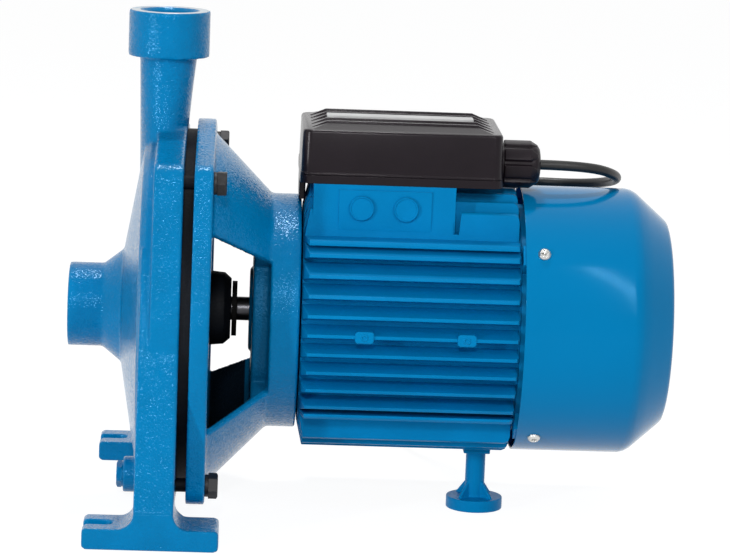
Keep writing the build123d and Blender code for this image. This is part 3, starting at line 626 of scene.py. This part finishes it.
class PumpFinish(bpy.types.PropertyGroup):
    """Colours and gloss of the pump's paints and plastics."""

    enamel: FloatVectorProperty(
        name="Enamel", description="Colour of the gloss enamel on the castings and the fan cover",
        subtype="COLOR", size=3, min=0.0, max=1.0, default=(0.0, 0.198, 0.458))
    motor_colour: FloatVectorProperty(
        name="Motor enamel", description="Colour of the satin enamel on the motor frame",
        subtype="COLOR", size=3, min=0.0, max=1.0, default=(0.0, 0.215, 0.505))
    box_colour: FloatVectorProperty(
        name="Box plastic", description="Colour of the terminal box and the gland",
        subtype="COLOR", size=3, min=0.0, max=1.0, default=(0.0100, 0.0064, 0.0092))
    cast_roughness: FloatProperty(
        name="Casting roughness", description="Gloss of the enamel on cast iron, lower is shinier",
        subtype="FACTOR", min=0.0, max=1.0, default=0.12)
    motor_roughness: FloatProperty(
        name="Motor roughness", description="Gloss of the enamel on the motor frame, lower is shinier",
        subtype="FACTOR", min=0.0, max=1.0, default=0.36)
    cover_roughness: FloatProperty(
        name="Fan cover roughness", description="Gloss of the fan cover's enamel, lower is shinier",
        subtype="FACTOR", min=0.0, max=1.0, default=0.1)


class PumpSizes(bpy.types.PropertyGroup):
    """Sizes of the details that the scene adds to the frame."""

    casting_voxel: FloatProperty(
        name="Casting grain", description="Edge length of the casting's remeshed surface",
        subtype="DISTANCE", unit="LENGTH", min=0.0008, max=0.004, default=0.001)
    casting_rounds: IntProperty(
        name="Fettling", description="Rounds of smoothing that soften the casting's edges",
        min=0, max=40, default=4)
    cord_diameter: FloatProperty(
        name="Flex diameter", description="Outside diameter of the flex",
        subtype="DISTANCE", unit="LENGTH", min=0.004, max=0.01, default=2 * CORD_RADIUS * MM)


class OBJECT_OT_pump_castings(bpy.types.Operator):
    """Casing with its neck and legs, lantern bracket and motor foot, with the soft edges of sand castings"""
    bl_idname = "object.pump_castings"
    bl_label = "Castings"

    def execute(self, context):
        voxel = context.scene.pump_sizes.casting_voxel
        rounds = context.scene.pump_sizes.casting_rounds
        casing = ("volute_casing", "discharge_neck", "near_leg", "far_leg")
        soften_casting(casing, "casing_casting", "cast_paint", voxel, rounds, 0.4)
        soften_casting(("lantern_bracket",), "lantern_casting", "lantern_paint", voxel, rounds, 0.4)
        soften_casting(("motor_foot",), "motor_foot_casting", "motor_paint", voxel * 0.4, 4, 0.5)
        return {"FINISHED"}


class OBJECT_OT_pump_ports(bpy.types.Operator):
    """Machined mouths and pipe threads of the two ports"""
    bl_idname = "object.pump_ports"
    bl_label = "Port threads"

    def execute(self, context):
        self.port("discharge_thread", (0, 0, DISCHARGE_MOUTH), (0, 0, 1), 23.3)
        self.port("suction_thread", (SUCTION_MOUTH, 0, 0), (-1, 0, 0), 22.6)
        return {"FINISHED"}

    def port(self, name, mouth, outwards, rim):
        """The cut ring of a mouth, its chamfer and seven turns of thread, as one closed outline round Z."""
        pitch, groove, crest = 2.309, 16.2, 15.2
        proud, chamfer_end, thread_end = 0.12, -2.4, -19.5
        outline = [(-1.2, rim), (proud, rim - 0.3), (proud, 18.0), (chamfer_end, 15.5)]
        for turn in range(7):
            start = chamfer_end - turn * pitch
            outline += [(start - 0.45 * pitch, groove), (start - 0.95 * pitch, crest)]
        outline += [(thread_end, crest + 0.1), (thread_end, groove + 0.4)]
        shape = ring_about_z(outline, 72, True)
        shape.transform(facing(outwards, mouth))
        add_shape(name, shape, 28.0, "machined_iron")


class OBJECT_OT_pump_fasteners(bpy.types.Operator):
    """Flange bolts with washers, drain plug and the fan cover's cross-recessed screws"""
    bl_idname = "object.pump_fasteners"
    bl_label = "Fasteners"

    def execute(self, context):
        self.flange_bolts()
        self.drain_plug()
        self.cover_screws()
        return {"FINISHED"}

    def flange_bolts(self):
        """Four bolts behind the lantern's flange, each turned by its own amount; shanks show in the gap."""
        head = hexagon(width=13.0, low=2.0, high=7.5)
        washer = ring_about_z([(0.0, 0.0), (0.0, 6.3), (0.25, 6.5), (1.75, 6.5), (2.0, 6.3), (2.0, 0.0)], 40)
        shank = ring_about_z([(0.5, 0.0), (0.5, 4.0), (-25.0, 4.0), (-26.0, 3.3), (-26.0, 0.0)], 32)
        places = []
        for i, around in enumerate((45, 135, 225, 315)):
            angle = math.radians(around)
            middle = (LANTERN_START, BOLT_CIRCLE * math.cos(angle), BOLT_CIRCLE * math.sin(angle))
            places.append(facing((1, 0, 0), middle) @ turned(17 * i + 10))
        heads = gathered((head, washer), places)
        add_shape("flange_bolt_set", heads, 20.0, "black_steel", ("flange_bolts",))
        shanks = gathered((shank,), places)
        add_shape("flange_bolt_shanks", shanks, 20.0, "dark_iron", ("flange_bolts",))

    def drain_plug(self):
        """A painted plug with a collar, low on the casing's front."""
        head = hexagon(width=14.0, low=0.8, high=4.0)
        collar = ring_about_z([(0.0, 0.0), (0.0, 7.7), (0.8, 7.7), (0.8, 0.0)], 40)
        shank = ring_about_z([(0.2, 0.0), (0.2, 6.5), (-9.0, 6.5), (-9.0, 0.0)], 32)
        place = facing((-1, 0, 0), (-20.7, 0.0, -104.0)) @ turned(12)
        shape = gathered((head, collar, shank), (place,))
        add_shape("drain_plug_head", shape, 20.0, "cast_paint", ("drain_plug",))

    def cover_screws(self):
        """Four domed screws round the fan cover; the cross is sunk into the rings of the dome's middle."""
        outline = [(0.0, 3.8), (0.5, 3.8), (1.2, 3.5), (1.8, 2.8)]
        outline += [(2.15 - 0.005 * step * step, 2.8 - step * 0.2) for step in range(1, 14)]
        outline += [(2.2, 0.0)]
        head = ring_about_z(outline, 72)
        slot_half, slot_reach, dome_start, sunk = 0.42 * MM, 2.1 * MM, 1.5 * MM, 0.9 * MM
        recess = [v for v in head.verts
                  if min(abs(v.co.x), abs(v.co.y)) < slot_half
                  and v.co.xy.length < slot_reach and v.co.z > dome_start]
        bmesh.ops.translate(head, vec=(0, 0, -sunk), verts=recess)
        shank = ring_about_z([(0.2, 0.0), (0.2, 2.2), (-7.5, 2.2), (-7.9, 1.6), (-7.9, 0.0)], 28)
        places = []
        for quarter in range(4):
            angle = math.radians(38 - 90 * quarter)
            outwards = (0.0, -math.cos(angle), math.sin(angle))
            middle = (COVER_SCREW_X, outwards[1] * COVER_RADIUS, outwards[2] * COVER_RADIUS)
            places.append(facing(outwards, middle) @ turned(25 * quarter + 20))
        shape = gathered((head, shank), places)
        add_shape("cover_screw_set", shape, 30.0, "screw_steel", ("fan_cover_screws",))


class OBJECT_OT_pump_motor_details(bpy.types.Operator):
    """Raised rims of the blank conduit bosses and the lugs that carry a name plate"""
    bl_idname = "object.pump_motor_details"
    bl_label = "Motor details"

    def execute(self, context):
        self.conduit_rims()
        self.plate_lugs()
        return {"FINISHED"}

    def conduit_rims(self):
        """A rounded rim on each of the two bosses at both sides."""
        outline = [(-0.4, 7.35), (0.15, 7.2), (0.45, 6.9), (0.45, 6.4), (0.15, 6.1), (-0.4, 6.0)]
        rim = ring_about_z(outline, 48, True)
        places = [facing((0, side, 0), (x, side * CONDUIT_FACE, CONDUIT_HEIGHT))
                  for side in (-1, 1) for x in CONDUIT_PLACES]
        add_shape("conduit_rims", gathered((rim,), places), 40.0, "motor_paint")

    def plate_lugs(self):
        """Rounded tabs with a raised face and an eye, on the fins' tips at both sides."""
        tab = block(11.0, 7.0, 1.6)
        round_edges(tab, upright_edges(tab), 2.0, 5)
        face = [f for f in tab.faces if f.normal.z > 0.9]
        bmesh.ops.inset_region(tab, faces=face, thickness=0.5 * MM, depth=0.35 * MM, use_even_offset=True)
        outline = [(0.6, 2.1), (1.35, 2.1), (1.6, 1.8), (1.6, 1.3), (1.2, 1.0), (0.6, 1.0)]
        eye = ring_about_z(outline, 28, True)
        places = [facing((0, side, 0), (x, side * FIN_TIPS, 0.0)) for side in (-1, 1) for x in LUG_PLACES]
        add_shape("plate_lugs", gathered((tab, eye), places), 25.0, "motor_paint")


class OBJECT_OT_pump_terminal_box(bpy.types.Operator):
    """Terminal box with its ribbed lid, blank label and cable gland"""
    bl_idname = "object.pump_terminal_box"
    bl_label = "Terminal box"

    def execute(self, context):
        self.lid()
        self.base()
        self.gland()
        return {"FINISHED"}

    def lid(self):
        """The lid with its crowned top, five ridges and the lip at the seam, and the strip of the label."""
        walls = rounded_box(*box_corners(0.4, 88.7, 115.0), 6.0, 1.6, draft=1.2)
        crown = ramped_bar(inset=4.0, ramp=11.5, low=114.2, high=118.0, width=83.0, edge=0.5, narrowed=0.71)
        lip = rounded_box(*box_corners(0.1, 88.6, 89.9), 6.2, 0.5)
        ridges = [ramped_bar(inset=4.6, ramp=10.8, low=114.5, high=119.0, width=2.6, edge=0.35, y=i * 14.0)
                  for i in range(-2, 3)]
        shape = gathered((walls, crown, lip, *ridges))
        add_shape("terminal_lid", shape, 30.0, "box_plastic", ("terminal_box_lid",))
        label = rounded_box((94.8, -6.4, 117.9), (182.0, 6.4, 119.3), 1.0, 0.2)
        add_shape("blank_label", label, 30.0, "label_blank")

    def base(self):
        """The base with the groove of the seam above it and the skirt that hangs at its front end."""
        tray = rounded_box(*box_corners(0.0, 83.5, 88.3), 6.3)
        seam = rounded_box(*box_corners(0.8, 88.0, 89.0), 5.6)
        skirt = rounded_box((BOX_ENDS[0], -18.0, 70.5), (BOX_ENDS[0] + 3.8, 18.0, 84.0), 0.8)
        shape = gathered((tray, seam, skirt))
        add_shape("terminal_base", shape, 30.0, "box_plastic", ("terminal_box_base",))

    def gland(self):
        """A domed cap nut with eight wide ribs that end in a point."""
        outline = [(-1.0, 0.0), (-1.0, 11.5), (0.2, 11.5), (0.2, 12.4), (17.5, 12.4), (19.2, 12.0),
                   (20.6, 10.9), (21.6, 9.3), (22.0, 7.0), (22.0, 3.6), (19.0, 3.4), (19.0, 0.0)]
        cap = ring_about_z(outline, 72)
        rib = self.rib()
        ribs = gathered((rib,), [turned(45 * i + 12) for i in range(8)])
        place = facing((1, 0, 0), (BOX_ENDS[1] + 1.0, GLAND_Y, GLAND_HEIGHT))
        shape = gathered((cap, ribs), (place,))
        add_shape("gland_cap", shape, 30.0, "gland_plastic", ("gland_body", "gland_nut"))

    def rib(self):
        """One rib along Z, narrower outside, with a nose that slopes down to the cap's dome."""
        shape = block(8.4, 3.4, 15.5)
        outer = [v for v in shape.verts if v.co.y > 0.0]
        bmesh.ops.scale(shape, vec=(0.86, 1.0, 1.0), verts=outer)
        nose = bmesh.ops.extrude_face_region(shape, geom=[f for f in shape.faces if f.normal.z > 0.9])
        tip = [v for v in nose["geom"] if isinstance(v, bmesh.types.BMVert)]
        bmesh.ops.translate(shape, vec=(0, 0, 4.2 * MM), verts=tip)
        bmesh.ops.scale(shape, vec=(0.3, 1.0, 1.0), verts=tip)
        bmesh.ops.translate(shape, vec=(0, -1.9 * MM, 0), verts=[v for v in tip if v.co.y > 0.0])
        round_edges(shape, shape.edges[:], 0.35, 2)
        bmesh.ops.translate(shape, vec=(0, 12.1 * MM, 8.2 * MM), verts=shape.verts)
        return shape


class OBJECT_OT_pump_carried(bpy.types.Operator):
    """Nodes whose shape is right, with smooth curves and their own finishes"""
    bl_idname = "object.pump_carried"
    bl_label = "Carried-over parts"

    def execute(self, context):
        still = {
            "seal_cover": "dark_iron", "front_bearing": "bearing_steel", "rear_bearing": "bearing_steel",
            "motor_frame": "motor_paint", "rear_end_shield": "motor_paint", "fan_cover": "cover_paint",
            "coil_tie": "gland_plastic", "plug_body": "plug_plastic", "plug_pins": "pin_brass",
        }
        turning = {
            "shaft": "shaft_steel", "impeller": "impeller_brass", "impeller_nut": "screw_steel",
            "shaft_seal": "seal_rubber", "shaft_slinger": "seal_rubber", "cooling_fan": "fan_plastic",
            "fan_clip": "screw_steel",
        }
        for node, finish in still.items():
            dress_node(node, finish, STILL)
        for node, finish in turning.items():
            dress_node(node, finish, TURNING)
        return {"FINISHED"}


class OBJECT_OT_pump_flex(bpy.types.Operator):
    """The flex from the gland, over the motor and down to its coil behind the pump"""
    bl_idname = "object.pump_flex"
    bl_label = "Flex"

    def execute(self, context):
        curve = bpy.data.curves.new("flex", "CURVE")
        curve.dimensions = "3D"
        curve.bevel_depth = context.scene.pump_sizes.cord_diameter / 2
        curve.bevel_resolution = 5
        curve.resolution_u = 8
        curve.use_fill_caps = True
        plug_y = COIL_Y + 36.1
        to_plug = [(196.0, plug_y + 1.5, FLOOR + 10.5), (208.0, plug_y, FLOOR + 12.6),
                   (222.0, plug_y, FLOOR + 13.0)]
        route = CORD_ROUTE + coil_points() + to_plug
        spline = curve.splines.new("NURBS")
        spline.points.add(len(route) - 1)
        for point, place in zip(spline.points, route):
            point.co = (*at(*place), 1.0)
        spline.order_u = 3
        spline.use_endpoint_u = True
        flex = bpy.data.objects.new("flex", curve)
        context.scene.collection.objects.link(flex)
        curve.materials.append(finish_of("cord_rubber"))
        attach(flex, STILL)
        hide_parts("cord_lead", "cord_coil", "cord_tail")
        tuple(at(*CORD_EXIT))
        return {"FINISHED"}


class OBJECT_OT_pump_stage(bpy.types.Operator):
    """Pale floor, studio lamps, world and the camera of the photograph"""
    bl_idname = "object.pump_stage"
    bl_label = "Stage"

    def execute(self, context):
        scene = context.scene
        scene.view_settings.view_transform = "Standard"
        self.world(scene)
        self.floor(scene)
        for name, (place, size, watts) in LAMPS.items():
            self.lamp(scene, name, place, size, watts)
        self.camera(scene)
        return {"FINISHED"}

    def lamp(self, scene, name, place, size, watts):
        """A rectangular lamp that faces the pump's middle."""
        light = bpy.data.lights.new(name, "AREA")
        light.shape = "RECTANGLE"
        light.size, light.size_y = size
        light.energy = watts
        lamp = bpy.data.objects.new(name, light)
        lamp.location = place
        lamp.rotation_euler = (Vector(LAMP_TARGET) - Vector(place)).to_track_quat("-Z", "Y").to_euler()
        scene.collection.objects.link(lamp)

    def world(self, scene):
        """White where it is seen, and dimmer where it lights the pump."""
        paint = Paint(bpy.data.worlds.new("studio"), "ShaderNodeOutputWorld")
        room = paint.node("ShaderNodeBackground", {}, {"Color": (0.96, 0.98, 1.0, 1.0), "Strength": 0.31})
        white = paint.node("ShaderNodeBackground", {}, {"Color": (1.0, 1.0, 1.0, 1.0), "Strength": 1.0})
        mix = paint.node("ShaderNodeMixShader", {}, {0: paint.seen(), 1: room, 2: white})
        scene.world = paint.close(mix)

    def floor(self, scene):
        """Near white where it is seen, with the pump's shadow, and plain grey where it lights the pump."""
        shape = bmesh.new()
        bmesh.ops.create_grid(shape, x_segments=1, y_segments=1, size=6.0)
        floor = bpy.data.objects.new("floor", to_mesh("floor", shape, 180.0))
        scene.collection.objects.link(floor)
        paint = new_paint("white_floor")
        grey = paint.node("ShaderNodeBsdfDiffuse", {}, {"Color": (0.8, 0.8, 0.8, 1.0)})
        dim = paint.node("ShaderNodeBsdfDiffuse", {}, {"Color": (0.2, 0.2, 0.2, 1.0)})
        glow = paint.node("ShaderNodeEmission", {}, {"Color": (1.0, 1.0, 1.0, 1.0), "Strength": 0.92})
        lit = paint.node("ShaderNodeAddShader", {}, {0: dim, 1: glow})
        mix = paint.node("ShaderNodeMixShader", {}, {0: paint.seen(), 1: grey, 2: lit})
        floor.data.materials.append(paint.close(mix))

    def camera(self, scene):
        """The photograph's view: headed along the frame's Y, pitched down and rolled."""
        data = bpy.data.cameras.new("photo_camera")
        data.lens = CAMERA_LENS
        data.sensor_width = 36.0
        data.clip_start = 0.1
        data.clip_end = 20.0
        camera = bpy.data.objects.new("photo_camera", data)
        pitch = math.radians(CAMERA_PITCH)
        heading = math.radians(CAMERA_HEADING)
        roll = math.radians(CAMERA_ROLL)
        forward = Vector((math.sin(heading) * math.cos(pitch), math.cos(heading) * math.cos(pitch),
                          -math.sin(pitch)))
        right = Vector((math.cos(heading), -math.sin(heading), 0.0))
        up = right.cross(forward)
        rolled_right = right * math.cos(roll) + up * math.sin(roll)
        rolled_up = up * math.cos(roll) - right * math.sin(roll)
        turn = Matrix((rolled_right, rolled_up, -forward)).transposed().to_4x4()
        camera.matrix_world = Matrix.Translation(CAMERA_PLACE) @ turn
        scene.collection.objects.link(camera)
        scene.camera = camera


class VIEW3D_PT_pump(bpy.types.Panel):
    """Sizes, finishes and the pump's pieces"""
    bl_label = "Centrifugal Pump"
    bl_idname = "VIEW3D_PT_pump"
    bl_space_type = "VIEW_3D"
    bl_region_type = "UI"
    bl_category = "Pump"

    def draw(self, context):
        column = self.layout.column()
        for group in (context.scene.pump_finish, context.scene.pump_sizes):
            for name in group.bl_rna.properties.keys():
                if name not in ("rna_type", "name"):
                    column.prop(group, name)
        for made in OPERATORS:
            column.operator(made.bl_idname)


OPERATORS = (
    OBJECT_OT_pump_castings,
    OBJECT_OT_pump_ports,
    OBJECT_OT_pump_fasteners,
    OBJECT_OT_pump_motor_details,
    OBJECT_OT_pump_terminal_box,
    OBJECT_OT_pump_carried,
    OBJECT_OT_pump_flex,
    OBJECT_OT_pump_stage,
)
CLASSES = (PumpFinish, PumpSizes, *OPERATORS, VIEW3D_PT_pump)


def register():
    for made in CLASSES:
        bpy.utils.register_class(made)
    bpy.types.Scene.pump_finish = PointerProperty(type=PumpFinish)
    bpy.types.Scene.pump_sizes = PointerProperty(type=PumpSizes)


def unregister():
    del bpy.types.Scene.pump_sizes
    del bpy.types.Scene.pump_finish
    for made in reversed(CLASSES):
        bpy.utils.unregister_class(made)


def main():
    register()
    bpy.ops.object.pump_castings()
    bpy.ops.object.pump_ports()
    bpy.ops.object.pump_fasteners()
    bpy.ops.object.pump_motor_details()
    bpy.ops.object.pump_terminal_box()
    bpy.ops.object.pump_carried()
    bpy.ops.object.pump_flex()
    bpy.ops.object.pump_stage()


if __name__ == "__main__":
    main()
